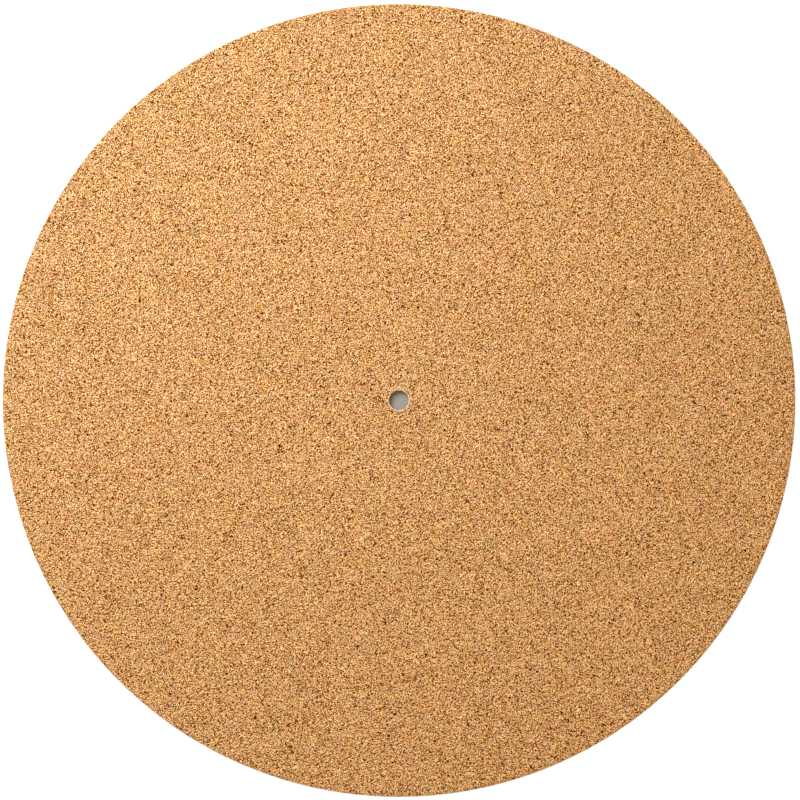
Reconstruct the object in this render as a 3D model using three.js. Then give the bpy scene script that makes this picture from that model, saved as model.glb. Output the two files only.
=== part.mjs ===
// A cork mat for a record player's platter: one disc punched from a sheet of pressed cork granules,
// with a hole through its middle that the platter's spindle comes up through.
// Millimetres, +Z up. The origin is on the spindle's axis, in the face that lies on the platter.
import * as THREE from "three";

// Driving dimensions
const MAT_DIAMETER = 300;
const MAT_THICKNESS = 3;
const SPINDLE_DIAMETER = 7.2; // the standard spindle of a record player
const SPINDLE_CLEARANCE = 0.05; // the gap all round it, which keeps the mat centred
const RIM_EDGE_RADIUS = 1; // where the rim is rounded over, above and below
const HOLE_EDGE_RADIUS = 0.4; // the same at the two ends of the spindle hole
const MOST_ROUNDED = 0.4; // the largest share of the thickness that one rounded edge may take

// How finely the round surfaces are divided
const STEPS_PER_TURN = 180;
const STEPS_PER_EDGE = 4;

const CORK_COLOR = "#d19b63";
const CORK_ROUGHNESS = 0.9;
const QUARTER_TURN = Math.PI / 2;

// An edge's radius, smaller on a mat too thin for it, so that a straight wall is always left.
function edgeRadius(wanted) {
  return Math.min(wanted, MOST_ROUNDED * MAT_THICKNESS);
}

// The outline of half the mat's cross-section, with the distance from the spindle's axis as x and
// the height as y. It starts at the foot of the hole and goes round counter-clockwise.
function crossSection() {
  const holeRadius = SPINDLE_DIAMETER / 2 + SPINDLE_CLEARANCE;
  const rimRadius = MAT_DIAMETER / 2;
  const holeEdge = edgeRadius(HOLE_EDGE_RADIUS);
  const rimEdge = edgeRadius(RIM_EDGE_RADIUS);

  const roundings = [
    { x: holeRadius + holeEdge, y: holeEdge, radius: holeEdge, start: Math.PI },
    { x: rimRadius - rimEdge, y: rimEdge, radius: rimEdge, start: -QUARTER_TURN },
    { x: rimRadius - rimEdge, y: MAT_THICKNESS - rimEdge, radius: rimEdge, start: 0 },
    { x: holeRadius + holeEdge, y: MAT_THICKNESS - holeEdge, radius: holeEdge, start: QUARTER_TURN },
  ];

  const outline = roundings.flatMap(({ x, y, radius, start }) =>
    new THREE.ArcCurve(x, y, radius, start, start + QUARTER_TURN).getPoints(STEPS_PER_EDGE),
  );
  return [...outline, outline[0].clone()];
}

function corkMat() {
  const geometry = new THREE.LatheGeometry(crossSection(), STEPS_PER_TURN);
  geometry.rotateX(QUARTER_TURN); // the lathe turns about Y, and the spindle stands along Z
  const material = new THREE.MeshStandardMaterial({
    color: CORK_COLOR,
    roughness: CORK_ROUGHNESS,
    metalness: 0,
  });
  const mesh = new THREE.Mesh(geometry, material);
  mesh.name = "cork_mat";
  return mesh;
}

const group = new THREE.Group();
group.name = "turntable_mat";
group.add(corkMat());

export default group;
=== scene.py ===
"""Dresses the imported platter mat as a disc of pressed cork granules, and lights it for its picture.

Metres, +Z up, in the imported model's frame: the origin is on the spindle's axis, under the mat.
"""
import logging
import math
from dataclasses import dataclass, field
from enum import Enum

import bpy
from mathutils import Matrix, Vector


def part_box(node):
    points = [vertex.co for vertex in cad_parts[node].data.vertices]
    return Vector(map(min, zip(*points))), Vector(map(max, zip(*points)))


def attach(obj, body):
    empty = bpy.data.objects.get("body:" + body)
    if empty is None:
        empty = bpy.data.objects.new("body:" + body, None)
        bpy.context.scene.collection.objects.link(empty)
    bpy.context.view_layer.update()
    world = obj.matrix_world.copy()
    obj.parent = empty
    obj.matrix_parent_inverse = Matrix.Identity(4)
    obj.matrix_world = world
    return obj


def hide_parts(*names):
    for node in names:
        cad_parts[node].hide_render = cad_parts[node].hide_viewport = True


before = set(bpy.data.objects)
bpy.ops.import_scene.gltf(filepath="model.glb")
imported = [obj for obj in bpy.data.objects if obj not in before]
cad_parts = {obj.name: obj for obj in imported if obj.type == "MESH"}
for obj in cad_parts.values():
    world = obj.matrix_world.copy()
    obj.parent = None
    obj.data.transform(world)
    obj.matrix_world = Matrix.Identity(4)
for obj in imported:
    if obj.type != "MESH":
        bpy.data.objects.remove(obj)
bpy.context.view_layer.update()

log = logging.getLogger("platter_mat")

MM = 0.001
QUARTER_TURN = math.pi / 2
HALF = 0.5  # the middle of what a texture or a random draw gives, which runs from 0 to 1

Colour = tuple[float, float, float]
Span = tuple[float, float]  # the two values between which something changes


class Signal:
    """A value that runs through a material. Python's operators on it add Math nodes."""

    def __init__(self, bench: "NodeBench", socket: bpy.types.NodeSocket) -> None:
        """Wraps one output socket.

        Args:
            bench: The node tree's bench, which adds the nodes.
            socket: The output that the value comes from.
        """
        self.bench = bench
        self.socket = socket

    def beside(self, output: str) -> "Signal":
        """Returns another output of the same node."""
        return Signal(self.bench, self.socket.node.outputs[output])

    def _math(self, operation: str, *values: "Signal | float") -> "Signal":
        """Adds one Math node and returns its value."""
        return self.bench.node("ShaderNodeMath", {"operation": operation}, dict(enumerate(values)))

    def __add__(self, other: "Signal | float") -> "Signal":
        """Returns the sum."""
        return self._math("ADD", self, other)

    def __radd__(self, other: float) -> "Signal":
        """Returns the sum with a number on the left."""
        return self._math("ADD", other, self)

    def __sub__(self, other: "Signal | float") -> "Signal":
        """Returns the difference."""
        return self._math("SUBTRACT", self, other)

    def __rsub__(self, other: float) -> "Signal":
        """Returns a number less this value."""
        return self._math("SUBTRACT", other, self)

    def __mul__(self, other: "Signal | float") -> "Signal":
        """Returns the product."""
        return self._math("MULTIPLY", self, other)

    def __rmul__(self, other: float) -> "Signal":
        """Returns the product with a number on the left."""
        return self._math("MULTIPLY", other, self)

    def rising(self, low: float, high: float) -> "Signal":
        """Makes a smooth step of this value.

        Args:
            low: The value at which the step begins.
            high: The value at which it ends.

        Returns:
            0 below low, 1 above high and a smooth curve between them.
        """
        return self.bench.node(
            "ShaderNodeMapRange",
            {"interpolation_type": "SMOOTHSTEP"},
            {"Value": self, "From Min": low, "From Max": high},
        )


class NodeBench:
    """Adds nodes to one node tree and links them."""

    def __init__(self, tree: bpy.types.NodeTree) -> None:
        """Empties the tree.

        Args:
            tree: The tree of a material or a world.
        """
        self.tree = tree
        tree.nodes.clear()

    def node(
        self,
        kind: str,
        settings: dict[str, object] | None = None,
        inputs: dict[str | int, object] | None = None,
    ) -> Signal | None:
        """Adds a node, with its settings set before its inputs.

        Args:
            kind: The node's type.
            settings: The node's own properties, with a ramp's stops under "stops".
            inputs: A number, a colour, a vector or a Signal for each socket, by its name or number.

        Returns:
            The node's first output that is in use, or None where it has no output.
        """
        made = self.tree.nodes.new(kind)
        for name, value in (settings or {}).items():
            if name == "stops":
                self._set_stops(made.color_ramp, value)
            else:
                setattr(made, name, value)
        for key, value in (inputs or {}).items():
            socket = self._input(made, key)
            if isinstance(value, Signal):
                self.tree.links.new(value.socket, socket)
            elif socket.type == "RGBA":
                socket.default_value = (*value, 1.0)
            else:
                socket.default_value = value
        used = [socket for socket in made.outputs if socket.enabled]
        return Signal(self, used[0]) if used else None

    @staticmethod
    def _set_stops(ramp: bpy.types.ColorRamp, stops: list[tuple[float, Colour]]) -> None:
        """Gives a ramp its stops.

        Args:
            ramp: The ramp, which has two stops so far.
            stops: The place and the colour of each stop, in order.
        """
        while len(ramp.elements) < len(stops):
            ramp.elements.new(1.0)
        for element, (place, colour) in zip(ramp.elements, stops):
            element.position = place
            element.color = (*colour, 1.0)

    @staticmethod
    def _input(made: bpy.types.Node, key: str | int) -> bpy.types.NodeSocket:
        """Finds one of a node's inputs.

        Args:
            made: The node.
            key: The input's number, or its name, which unused inputs may share.

        Returns:
            The input that is in use.
        """
        if isinstance(key, int):
            return made.inputs[key]
        return next(socket for socket in made.inputs if socket.name == key and socket.enabled)

    def vector(self, operation: str, *values: Signal | tuple[float, ...]) -> Signal:
        """Adds one Vector Math node and returns its output."""
        return self.node("ShaderNodeVectorMath", {"operation": operation}, dict(enumerate(values)))

    def blend(
        self, share: Signal | float, first: Signal | Colour, second: Signal | Colour, way: str = "MIX"
    ) -> Signal:
        """Mixes two colours.

        Args:
            share: How much of the second colour, from 0 to 1.
            first: The first colour.
            second: The second colour.
            way: Blender's name of the way to mix them.

        Returns:
            The mixed colour.
        """
        return self.node(
            "ShaderNodeMix",
            {"data_type": "RGBA", "blend_type": way},
            {"Factor": share, "A": first, "B": second},
        )

    def place(self) -> Signal:
        """Returns the place on the object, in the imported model's frame."""
        return self.node("ShaderNodeTexCoord").beside("Object")

    def reach(self) -> Signal:
        """Returns the distance from the spindle's axis."""
        level = self.vector("MULTIPLY", self.place(), (1.0, 1.0, 0.0))
        return self.vector("LENGTH", level).beside("Value")

    def surface(self, inputs: dict[str | int, object]) -> None:
        """Adds the surface's shader, with a value or a Signal for each socket, and links it."""
        shader = self.node("ShaderNodeBsdfPrincipled", inputs=inputs)
        self.node("ShaderNodeOutputMaterial", inputs={"Surface": shader})


def new_material(name: str) -> tuple[bpy.types.Material, NodeBench]:
    """Adds a material.

    Args:
        name: The material's name.

    Returns:
        The material, and a bench for its nodes.
    """
    made = bpy.data.materials.new(name)
    made.use_nodes = True
    return made, NodeBench(made.node_tree)


class Draw(Enum):
    """What each granule draws at random, by the channel of its own colour that holds the number."""

    TONE = "Red"
    LEVEL = "Green"


@dataclass(frozen=True)
class Granules:
    """One size of granule in the pressed sheet. Widths and heights are in millimetres."""

    width: float
    tone: float  # how much the granules differ in tone
    dome: float  # how far a granule's middle stands above its edge
    seam: float  # how much darker the joint between two granules is: partly the joint's own colour, partly painted shade in the recess between them


@dataclass(frozen=True)
class Flecks:
    """One size of the ragged dark flecks of bark in the sheet. Widths and heights are in millimetres."""

    width: float
    low: float  # the level of the noise at which a fleck begins
    high: float  # the level at which it is fully dark
    tone: float  # how much darker it is than the cork around it
    pit: float = 0.10  # how far it lies below that cork
    detail: float = 2.0


@dataclass(frozen=True)
class CorkFinish:
    """Pressed cork: honey-coloured granules with dark joints, which are partly painted shade in their
    recesses, flecks of bark and a paler cut edge.
    """

    name: str = "pressed_cork"

    crumbs: Granules = Granules(width=0.47, tone=0.08, dome=0.10, seam=0.88)
    grains: Granules = Granules(width=0.60, tone=0.0, dome=0.58, seam=0.0)
    specks: Flecks = Flecks(width=0.42, low=0.55, high=0.645, tone=1.4)
    bark: Flecks = Flecks(width=1.0, low=0.635, high=0.69, tone=1.1)
    scatter: float = 0.90  # 0 for granules in rows, 1 for granules strewn at random
    joint_and_cavity_shade: Span = (0.45, 0.85)  # where, in widths from a granule's middle, its darker joint starts and is darkest; this darkening is partly painted shade in the recess at the granule's foot
    slope: Span = (0.10, 0.75)  # the same for its side, from the top to the foot
    least_rise: float = 0.5  # how high the lowest granules stand, as a share of their dome
    tilt: tuple[float, float, float] = (0.5, 0.3, 0.7)  # turns the textures' own grid out of the faces
    warp: float = 0.30  # how far the granules' outlines wander, in millimetres
    warp_width: float = 0.625
    warp_detail: float = 1.0

    darkest: Colour = (0.065, 0.005, 0.000)
    dark: Colour = (0.340, 0.077, 0.001)
    middle: Colour = (0.724, 0.294, 0.034)
    light: Colour = (0.894, 0.505, 0.186)
    palest: Colour = (0.901, 0.598, 0.307)
    tones: tuple[float, ...] = (0.0, 0.3, 0.6, 0.85, 1.0)  # the tones that have these colours
    clean_tone: float = 0.99  # the tone away from joints and flecks

    rosy: Colour = (1.04, 0.965, 1.00)
    olive: Colour = (0.96, 1.035, 1.00)
    golden: Colour = (1.00, 1.00, 0.87)
    creamy: Colour = (1.00, 1.00, 1.15)
    tint_width: float = 5.0
    tint_detail: float = 4.0
    tint_roughness: float = 0.7
    tint_span: Span = (0.25, 0.75)  # the levels of the noise that have the first and the second tint

    cut: Colour = (0.92, 0.74, 0.52)  # a paler cream at the rim and the walls of the hole
    cut_share: float = 0.7
    rim_cut: Span = (0.25 * MM, 0.75 * MM)  # how far from the rim it is still pure, and ends
    hole_cut: Span = (0.25 * MM, 0.65 * MM)  # the same from the wall of the hole

    roughness: float = 0.9
    shine: float = 0.05

    def material(self, inner: float, outer: float) -> bpy.types.Material:
        """Builds the material.

        Args:
            inner: The radius of the hole's wall.
            outer: The radius of the rim.

        Returns:
            The new material.
        """
        made, bench = new_material(self.name)
        point = self._millimetres(bench)
        tone, height = self._tone_and_height(point)
        colours = self.darkest, self.dark, self.middle, self.light, self.palest
        stops = list(zip(self.tones, colours))
        colour = bench.node("ShaderNodeValToRGB", {"stops": stops}, {"Fac": tone})
        colour = bench.blend(1.0, colour, self._tint(point), "MULTIPLY")
        colour = bench.blend(self.cut_share * self._cut(bench.reach(), inner, outer), colour, self.cut)
        bench.surface({
            "Base Color": colour,
            "Roughness": self.roughness,
            "Specular IOR Level": self.shine,
            "Normal": bench.node("ShaderNodeBump", inputs={"Height": height, "Distance": MM}),
        })
        return made

    def _millimetres(self, bench: NodeBench) -> Signal:
        """Measures the place on the mat.

        Args:
            bench: The material's bench.

        Returns:
            The place in millimetres, turned and a little warped.
        """
        scaled = bench.node(
            "ShaderNodeMapping",
            inputs={"Vector": bench.place(), "Rotation": self.tilt, "Scale": (1 / MM,) * 3},
        )
        wander = bench.node(
            "ShaderNodeTexNoise",
            inputs={"Vector": scaled, "Scale": 1 / self.warp_width, "Detail": self.warp_detail},
        ).beside("Color")
        centred = bench.vector("SUBTRACT", wander, (HALF,) * 3)
        return bench.vector("MULTIPLY_ADD", centred, (self.warp,) * 3, scaled)

    def _tone_and_height(self, point: Signal) -> tuple[Signal, Signal]:
        """Lays the flecks and the granules over each other.

        Args:
            point: The place in millimetres.

        Returns:
            The tone, which is 0 where the cork is darkest, and the height in millimetres.
        """
        tone, height = self.clean_tone, 0.0
        for size in (self.specks, self.bark):
            flecks = self._flecks(point, size)
            tone = tone - size.tone * flecks
            height = height - size.pit * flecks
        for size in (self.crumbs, self.grains):
            granules = self._granules(point, size)
            # The joint darkening is partly the joints' own colour and partly painted shade where the
            # granules dip towards their feet.
            joint_and_cavity_shade = size.seam * granules.rising(*self.joint_and_cavity_shade)
            slope = size.dome * granules.rising(*self.slope)
            tone = tone + size.tone * (self._draw(granules, Draw.TONE) - HALF) - joint_and_cavity_shade
            height = height - slope * (self.least_rise + self._draw(granules, Draw.LEVEL))
        return tone, height

    def _flecks(self, point: Signal, size: Flecks) -> Signal:
        """Finds the flecks of one size.

        Args:
            point: The place in millimetres.
            size: The flecks.

        Returns:
            1 in the flecks and 0 elsewhere.
        """
        noise = point.bench.node(
            "ShaderNodeTexNoise",
            inputs={"Vector": point, "Scale": 1 / size.width, "Detail": size.detail},
        )
        return noise.rising(size.low, size.high)

    def _granules(self, point: Signal, size: Granules) -> Signal:
        """Finds the granules of one size.

        Args:
            point: The place in millimetres.
            size: The granules.

        Returns:
            The distance from the granule's middle in widths, with the granule's own colour beside it.
        """
        return point.bench.node(
            "ShaderNodeTexVoronoi",
            inputs={"Vector": point, "Scale": 1 / size.width, "Randomness": self.scatter},
        )

    @staticmethod
    def _draw(granules: Signal, what: Draw) -> Signal:
        """Returns one of the numbers from 0 to 1 that each granule drew at random."""
        parts = granules.bench.node("ShaderNodeSeparateColor", inputs={0: granules.beside("Color")})
        return parts.beside(what.value)

    def _tint(self, point: Signal) -> Signal:
        """Builds the patches of rosier, greener, yellower and paler cork.

        Args:
            point: The place in millimetres.

        Returns:
            The colour by which the cork is multiplied.
        """
        bench = point.bench
        patches = bench.node("ShaderNodeTexNoise", inputs={
            "Vector": point,
            "Scale": 1 / self.tint_width,
            "Detail": self.tint_detail,
            "Roughness": self.tint_roughness,
        })
        levels = bench.node("ShaderNodeSeparateColor", inputs={0: patches.beside("Color")})
        first = bench.blend(levels.beside("Red").rising(*self.tint_span), self.rosy, self.olive)
        second = bench.blend(levels.beside("Green").rising(*self.tint_span), self.golden, self.creamy)
        return bench.blend(1.0, first, second, "MULTIPLY")

    def _cut(self, reach: Signal, inner: float, outer: float) -> Signal:
        """Finds the cut walls of the hole and the rim.

        Args:
            reach: The distance from the spindle's axis.
            inner: The radius of the hole's wall.
            outer: The radius of the rim.

        Returns:
            1 at the walls, fading to 0 on the faces.
        """
        rim = reach.rising(outer - self.rim_cut[1], outer - self.rim_cut[0])
        return rim + 1.0 - reach.rising(inner + self.hole_cut[0], inner + self.hole_cut[1])


@dataclass(frozen=True)
class PaperFinish:
    """The plain paper under the mat: white and glowing around it, and a darker grey under it as painted
    shade, which the mat's hole shows.
    """

    name: str = "studio_paper"
    white: Colour = (0.9, 0.9, 0.9)
    # Painted shade: the paper under the mat is grey, so that the floor seen through the hole is dark.
    painted_shade_grey: Colour = (0.258, 0.238, 0.217)
    painted_shade_share: float = 0.5  # how much of the hidden radius has the full grey of the painted shade
    glow_colour: Colour = (0.88, 1.04, 1.28)
    no_glow: Colour = (0.0, 0.0, 0.0)
    glow: float = 0.5

    def material(self, hidden_radius: float) -> bpy.types.Material:
        """Builds the material.

        Args:
            hidden_radius: How far from the spindle's axis the paper is surely under the mat.

        Returns:
            The new material.
        """
        made, bench = new_material(self.name)
        open_paper = bench.reach().rising(self.painted_shade_share * hidden_radius, hidden_radius)
        bench.surface({
            # Under the mat the paper is grey, painted shade for the floor of the hole.
            "Base Color": bench.blend(open_paper, self.painted_shade_grey, self.white),
            "Roughness": 1.0,
            "Specular IOR Level": 0.0,
            "Emission Color": bench.blend(open_paper, self.no_glow, self.glow_colour),
            "Emission Strength": self.glow,
        })
        return made


class Form(Enum):
    """The forms that relief takes, by Blender's names for their textures."""

    DOMES = "VORONOI"
    CRUMBLE = "CLOUDS"


@dataclass(frozen=True)
class Relief:
    """Unevenness pressed into the skin. It only goes inwards, so the mat keeps its size."""

    name: str
    form: Form
    pitch: float
    depth: float

    def press(self, skin: bpy.types.Object, corners: list[int]) -> None:
        """Presses the relief into part of a skin.

        Args:
            skin: The object to shape.
            corners: The numbers of the vertices that may move.
        """
        texture = bpy.data.textures.new(self.name, self.form.value)
        texture.noise_scale = self.pitch
        group = skin.vertex_groups.new(name=self.name)
        group.add(corners, 1.0, "REPLACE")
        bpy.ops.object.modifier_add(type="DISPLACE")
        modifier = skin.modifiers[-1]
        modifier.texture = texture
        modifier.texture_coords = "LOCAL"
        modifier.vertex_group = group.name
        modifier.mid_level = 0.0
        modifier.strength = -self.depth
        bpy.ops.object.modifier_apply(modifier=modifier.name)


@dataclass(frozen=True)
class Ring:
    """One ring of points round the spindle's axis."""

    radius: float
    height: float
    points: int


@dataclass
class CorkMat:
    """The mat: rings of points from the spindle hole to the rim and back, bridged into one closed skin."""

    node: str = "cork_mat"
    name: str = "granular_cork_mat"
    finish: CorkFinish = field(default_factory=CorkFinish)
    face_relief: Relief = Relief("pressed_granules", Form.DOMES, pitch=2.8 * MM, depth=0.05 * MM)
    rim_relief: Relief = Relief("crumbled_rim", Form.CRUMBLE, pitch=1.3 * MM, depth=0.22 * MM)
    hole_relief: Relief = Relief("crumbled_hole", Form.CRUMBLE, pitch=1.0 * MM, depth=0.10 * MM)
    rim_edge: float = 1.2 * MM  # how far the rim is rounded over, above and below
    hole_edge: float = 0.5 * MM

    # How finely the skin is divided
    face_step: float = 1.08 * MM
    back_step: float = 2.4 * MM
    rim_step: float = 0.6 * MM
    hole_points: int = 64
    edge_steps: int = 5
    wall_steps: int = 4
    stack_pitch: float = 10 * MM  # the height between two rings while they are bridged

    radius: float = field(init=False)
    thickness: float = field(init=False)
    hole_radius: float = field(init=False)

    def __post_init__(self) -> None:
        """Takes the mat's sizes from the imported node."""
        lowest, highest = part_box(self.node)
        self.radius = (highest.x - lowest.x) / 2
        self.thickness = highest.z - lowest.z
        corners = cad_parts[self.node].data.vertices
        self.hole_radius = min(math.hypot(corner.co.x, corner.co.y) for corner in corners)

    def build(self) -> bpy.types.Object:
        """Models the mat, dresses it and hands it to the frame.

        Returns:
            The finished piece.
        """
        mat = self._skin(self._rings())
        self._roughen(mat)
        mat.data.materials.append(self.finish.material(self.hole_radius, self.radius))
        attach(mat, "root")
        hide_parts(self.node)
        return mat

    def _rings(self) -> list[Ring]:
        """Lists the rings of points round the mat's cross-section.

        Returns:
            The rings in order: out over the upper face, down the rim, in under the mat and up the hole.
        """
        top, rim, hole = self.thickness, self.rim_edge, self.hole_edge
        inner, outer = self.hole_radius + hole, self.radius - rim
        rim_points, hole_points = self._points(self.radius, self.rim_step), self.hole_points
        return [
            *self._face_rings(inner, outer, top, self.face_step),
            *self._edge_rings(Ring(outer, top - rim, rim_points), rim, QUARTER_TURN, 0.0),
            *self._wall_rings(Ring(self.radius, top - rim, rim_points), rim),
            *self._edge_rings(Ring(outer, rim, rim_points), rim, 0.0, -QUARTER_TURN),
            *reversed(self._face_rings(inner, outer, 0.0, self.back_step)),
            *self._edge_rings(Ring(inner, hole, hole_points), hole, -QUARTER_TURN, -math.pi),
            *self._wall_rings(Ring(self.hole_radius, hole, hole_points), top - hole),
            *self._edge_rings(Ring(inner, top - hole, hole_points), hole, math.pi, QUARTER_TURN),
        ]

    def _points(self, radius: float, step: float) -> int:
        """Returns how many points a ring gets for a given step between them."""
        return max(self.hole_points, round(2 * math.pi * radius / step))

    def _face_rings(self, inner: float, outer: float, height: float, step: float) -> list[Ring]:
        """Lists the rings between the two rounded edges of a flat face.

        Args:
            inner: The radius at which the hole's rounded edge begins.
            outer: The radius at which the rim's rounded edge begins.
            height: The height of the face.
            step: About how far apart the rings and their points are.

        Returns:
            The rings from the inner one outwards, without those of the edges.
        """
        bands = round((outer - inner) / step)
        radii = [inner + (outer - inner) * band / bands for band in range(1, bands)]
        return [Ring(radius, height, self._points(radius, step)) for radius in radii]

    def _edge_rings(self, middle: Ring, rounding: float, start: float, end: float) -> list[Ring]:
        """Lists the rings of a rounded edge.

        Args:
            middle: The ring about which the edge is rounded.
            rounding: The radius of the rounding.
            start: The angle in the cross-section at which it starts.
            end: The angle at which it ends.

        Returns:
            The rings from the first angle to the second, with both ends.
        """
        angles = [start + (end - start) * step / self.edge_steps for step in range(self.edge_steps + 1)]
        return [
            Ring(
                middle.radius + rounding * math.cos(angle),
                middle.height + rounding * math.sin(angle),
                middle.points,
            )
            for angle in angles
        ]

    def _wall_rings(self, first: Ring, end: float) -> list[Ring]:
        """Lists the rings of an upright wall.

        Args:
            first: The ring at which the wall starts.
            end: The height at which it ends.

        Returns:
            The rings between the two, without its ends.
        """
        rise = end - first.height
        heights = [first.height + rise * step / self.wall_steps for step in range(1, self.wall_steps)]
        return [Ring(first.radius, height, first.points) for height in heights]

    def _skin(self, rings: list[Ring]) -> bpy.types.Object:
        """Bridges the rings, stacked one above the other, and then moves each to its own height.

        Args:
            rings: The rings in order round the cross-section.

        Returns:
            The closed skin.
        """
        bpy.ops.object.select_all(action="DESELECT")
        bpy.ops.mesh.primitive_circle_add(vertices=rings[0].points, radius=rings[0].radius)
        skin = bpy.context.object
        skin.name = self.name
        bpy.ops.object.mode_set(mode="EDIT")
        for level, ring in enumerate(rings[1:], start=1):
            bpy.ops.mesh.primitive_circle_add(
                vertices=ring.points, radius=ring.radius, location=(0.0, 0.0, level * self.stack_pitch)
            )
        bpy.ops.mesh.select_all(action="SELECT")
        bpy.ops.mesh.bridge_edge_loops(type="CLOSED")
        bpy.ops.object.mode_set(mode="OBJECT")
        for corner in skin.data.vertices:
            corner.co.z = rings[round(corner.co.z / self.stack_pitch)].height
        bpy.ops.object.mode_set(mode="EDIT")
        bpy.ops.mesh.select_all(action="SELECT")
        bpy.ops.mesh.normals_make_consistent(inside=False)
        bpy.ops.object.mode_set(mode="OBJECT")
        bpy.ops.object.shade_smooth()
        return skin

    def _roughen(self, skin: bpy.types.Object) -> None:
        """Presses the granules into the upper face, and crumbles the walls of the rim and the hole.

        Args:
            skin: The skin, still smooth.
        """
        face, rim, hole = [], [], []
        for corner in skin.data.vertices:
            reach = math.hypot(corner.co.x, corner.co.y)
            if reach > self.radius - self.rim_edge:
                rim.append(corner.index)
            elif reach < self.hole_radius + self.hole_edge:
                hole.append(corner.index)
            elif corner.co.z > self.thickness / 2:
                face.append(corner.index)
        self.face_relief.press(skin, face)
        self.rim_relief.press(skin, rim)
        self.hole_relief.press(skin, hole)


@dataclass
class Studio:
    """The plain paper, the soft light and the camera straight above the mat."""

    mat: CorkMat
    paper: PaperFinish = field(default_factory=PaperFinish)
    paper_width: float = 6.0
    hidden_share: float = 0.9  # how much of the mat's radius is taken to hide the paper

    walls: Colour = (1.0, 1.0, 1.0)
    ceiling: Colour = (0.825, 0.655, 0.455)
    wall_top: Span = (0.24, 0.30)  # the sines of the angles at which the walls end and the ceiling begins

    key_colour: Colour = (0.97, 1.05, 1.16)
    key_watts: float = 3.95
    key_size: float = 0.30
    key_distance: float = 0.56
    key_azimuth: float = 130.0  # degrees, from +X towards +Y
    key_height: float = 52.0  # degrees above the mat

    lens: float = 85.0  # millimetres, as is the sensor
    sensor: float = 36.0
    picture_px: float = 800.0
    mat_px: float = 795.0  # how wide the mat is in the picture
    mat_middle_px: tuple[float, float] = (398.9, 400.3)  # from the picture's left and top

    def build(self) -> None:
        """Sets up the paper, the lights and the camera."""
        self._floor()
        self._room()
        self._key_light()
        self._camera()
        bpy.context.scene.view_settings.view_transform = "Standard"

    def _floor(self) -> None:
        """Lays the paper under the mat."""
        bpy.ops.mesh.primitive_plane_add(size=self.paper_width, location=(0.0, 0.0, 0.0))
        floor = bpy.context.object
        floor.name = "paper_floor"
        floor.data.materials.append(self.paper.material(self.hidden_share * self.mat.radius))

    def _room(self) -> None:
        """Fills the shadows from all round: white walls meet the paper, under a warmer ceiling."""
        world = bpy.data.worlds.new("pale_studio")
        world.use_nodes = True
        bench = NodeBench(world.node_tree)
        direction = bench.node("ShaderNodeTexCoord").beside("Generated")
        height = bench.node("ShaderNodeSeparateXYZ", inputs={0: direction}).beside("Z")
        colour = bench.blend(height.rising(*self.wall_top), self.walls, self.ceiling)
        light = bench.node("ShaderNodeBackground", inputs={"Color": colour})
        bench.node("ShaderNodeOutputWorld", inputs={"Surface": light})
        bpy.context.scene.world = world

    def _key_light(self) -> None:
        """Hangs the soft light beyond the mat's upper left, as the picture shows it."""
        turn, rise = math.radians(self.key_azimuth), math.radians(self.key_height)
        level = math.cos(rise)
        towards = Vector((math.cos(turn) * level, math.sin(turn) * level, math.sin(rise)))
        place = self.key_distance * towards
        bpy.ops.object.light_add(type="AREA", location=place)
        light = bpy.context.object
        light.name = "soft_light"
        light.rotation_euler = (-place).to_track_quat("-Z", "Y").to_euler()
        light.data.color = self.key_colour
        light.data.energy = self.key_watts
        light.data.size = self.key_size
        light.visible_camera = False

    def _camera(self) -> None:
        """Looks straight down, with the mat where the picture has it."""
        px = 2 * self.mat.radius / self.mat_px
        distance = self.picture_px * px * self.lens / self.sensor
        left, top = self.mat_middle_px
        middle = self.picture_px / 2
        place = ((middle - left) * px, (top - middle) * px, self.mat.thickness + distance)
        bpy.ops.object.camera_add(location=place, rotation=(0.0, 0.0, 0.0))
        camera = bpy.context.object
        camera.name = "picture_camera"
        camera.data.lens = self.lens
        camera.data.sensor_width = self.sensor
        bpy.context.scene.camera = camera


def main() -> None:
    """Builds the mat and its studio in order."""
    logging.basicConfig(level=logging.INFO, format="%(name)s: %(message)s")
    mat = CorkMat()
    piece = mat.build()
    log.info("%s: %d corners, %d faces", piece.name, len(piece.data.vertices), len(piece.data.polygons))
    Studio(mat).build()
    log.info("studio set up")


if __name__ == "__main__":
    main()
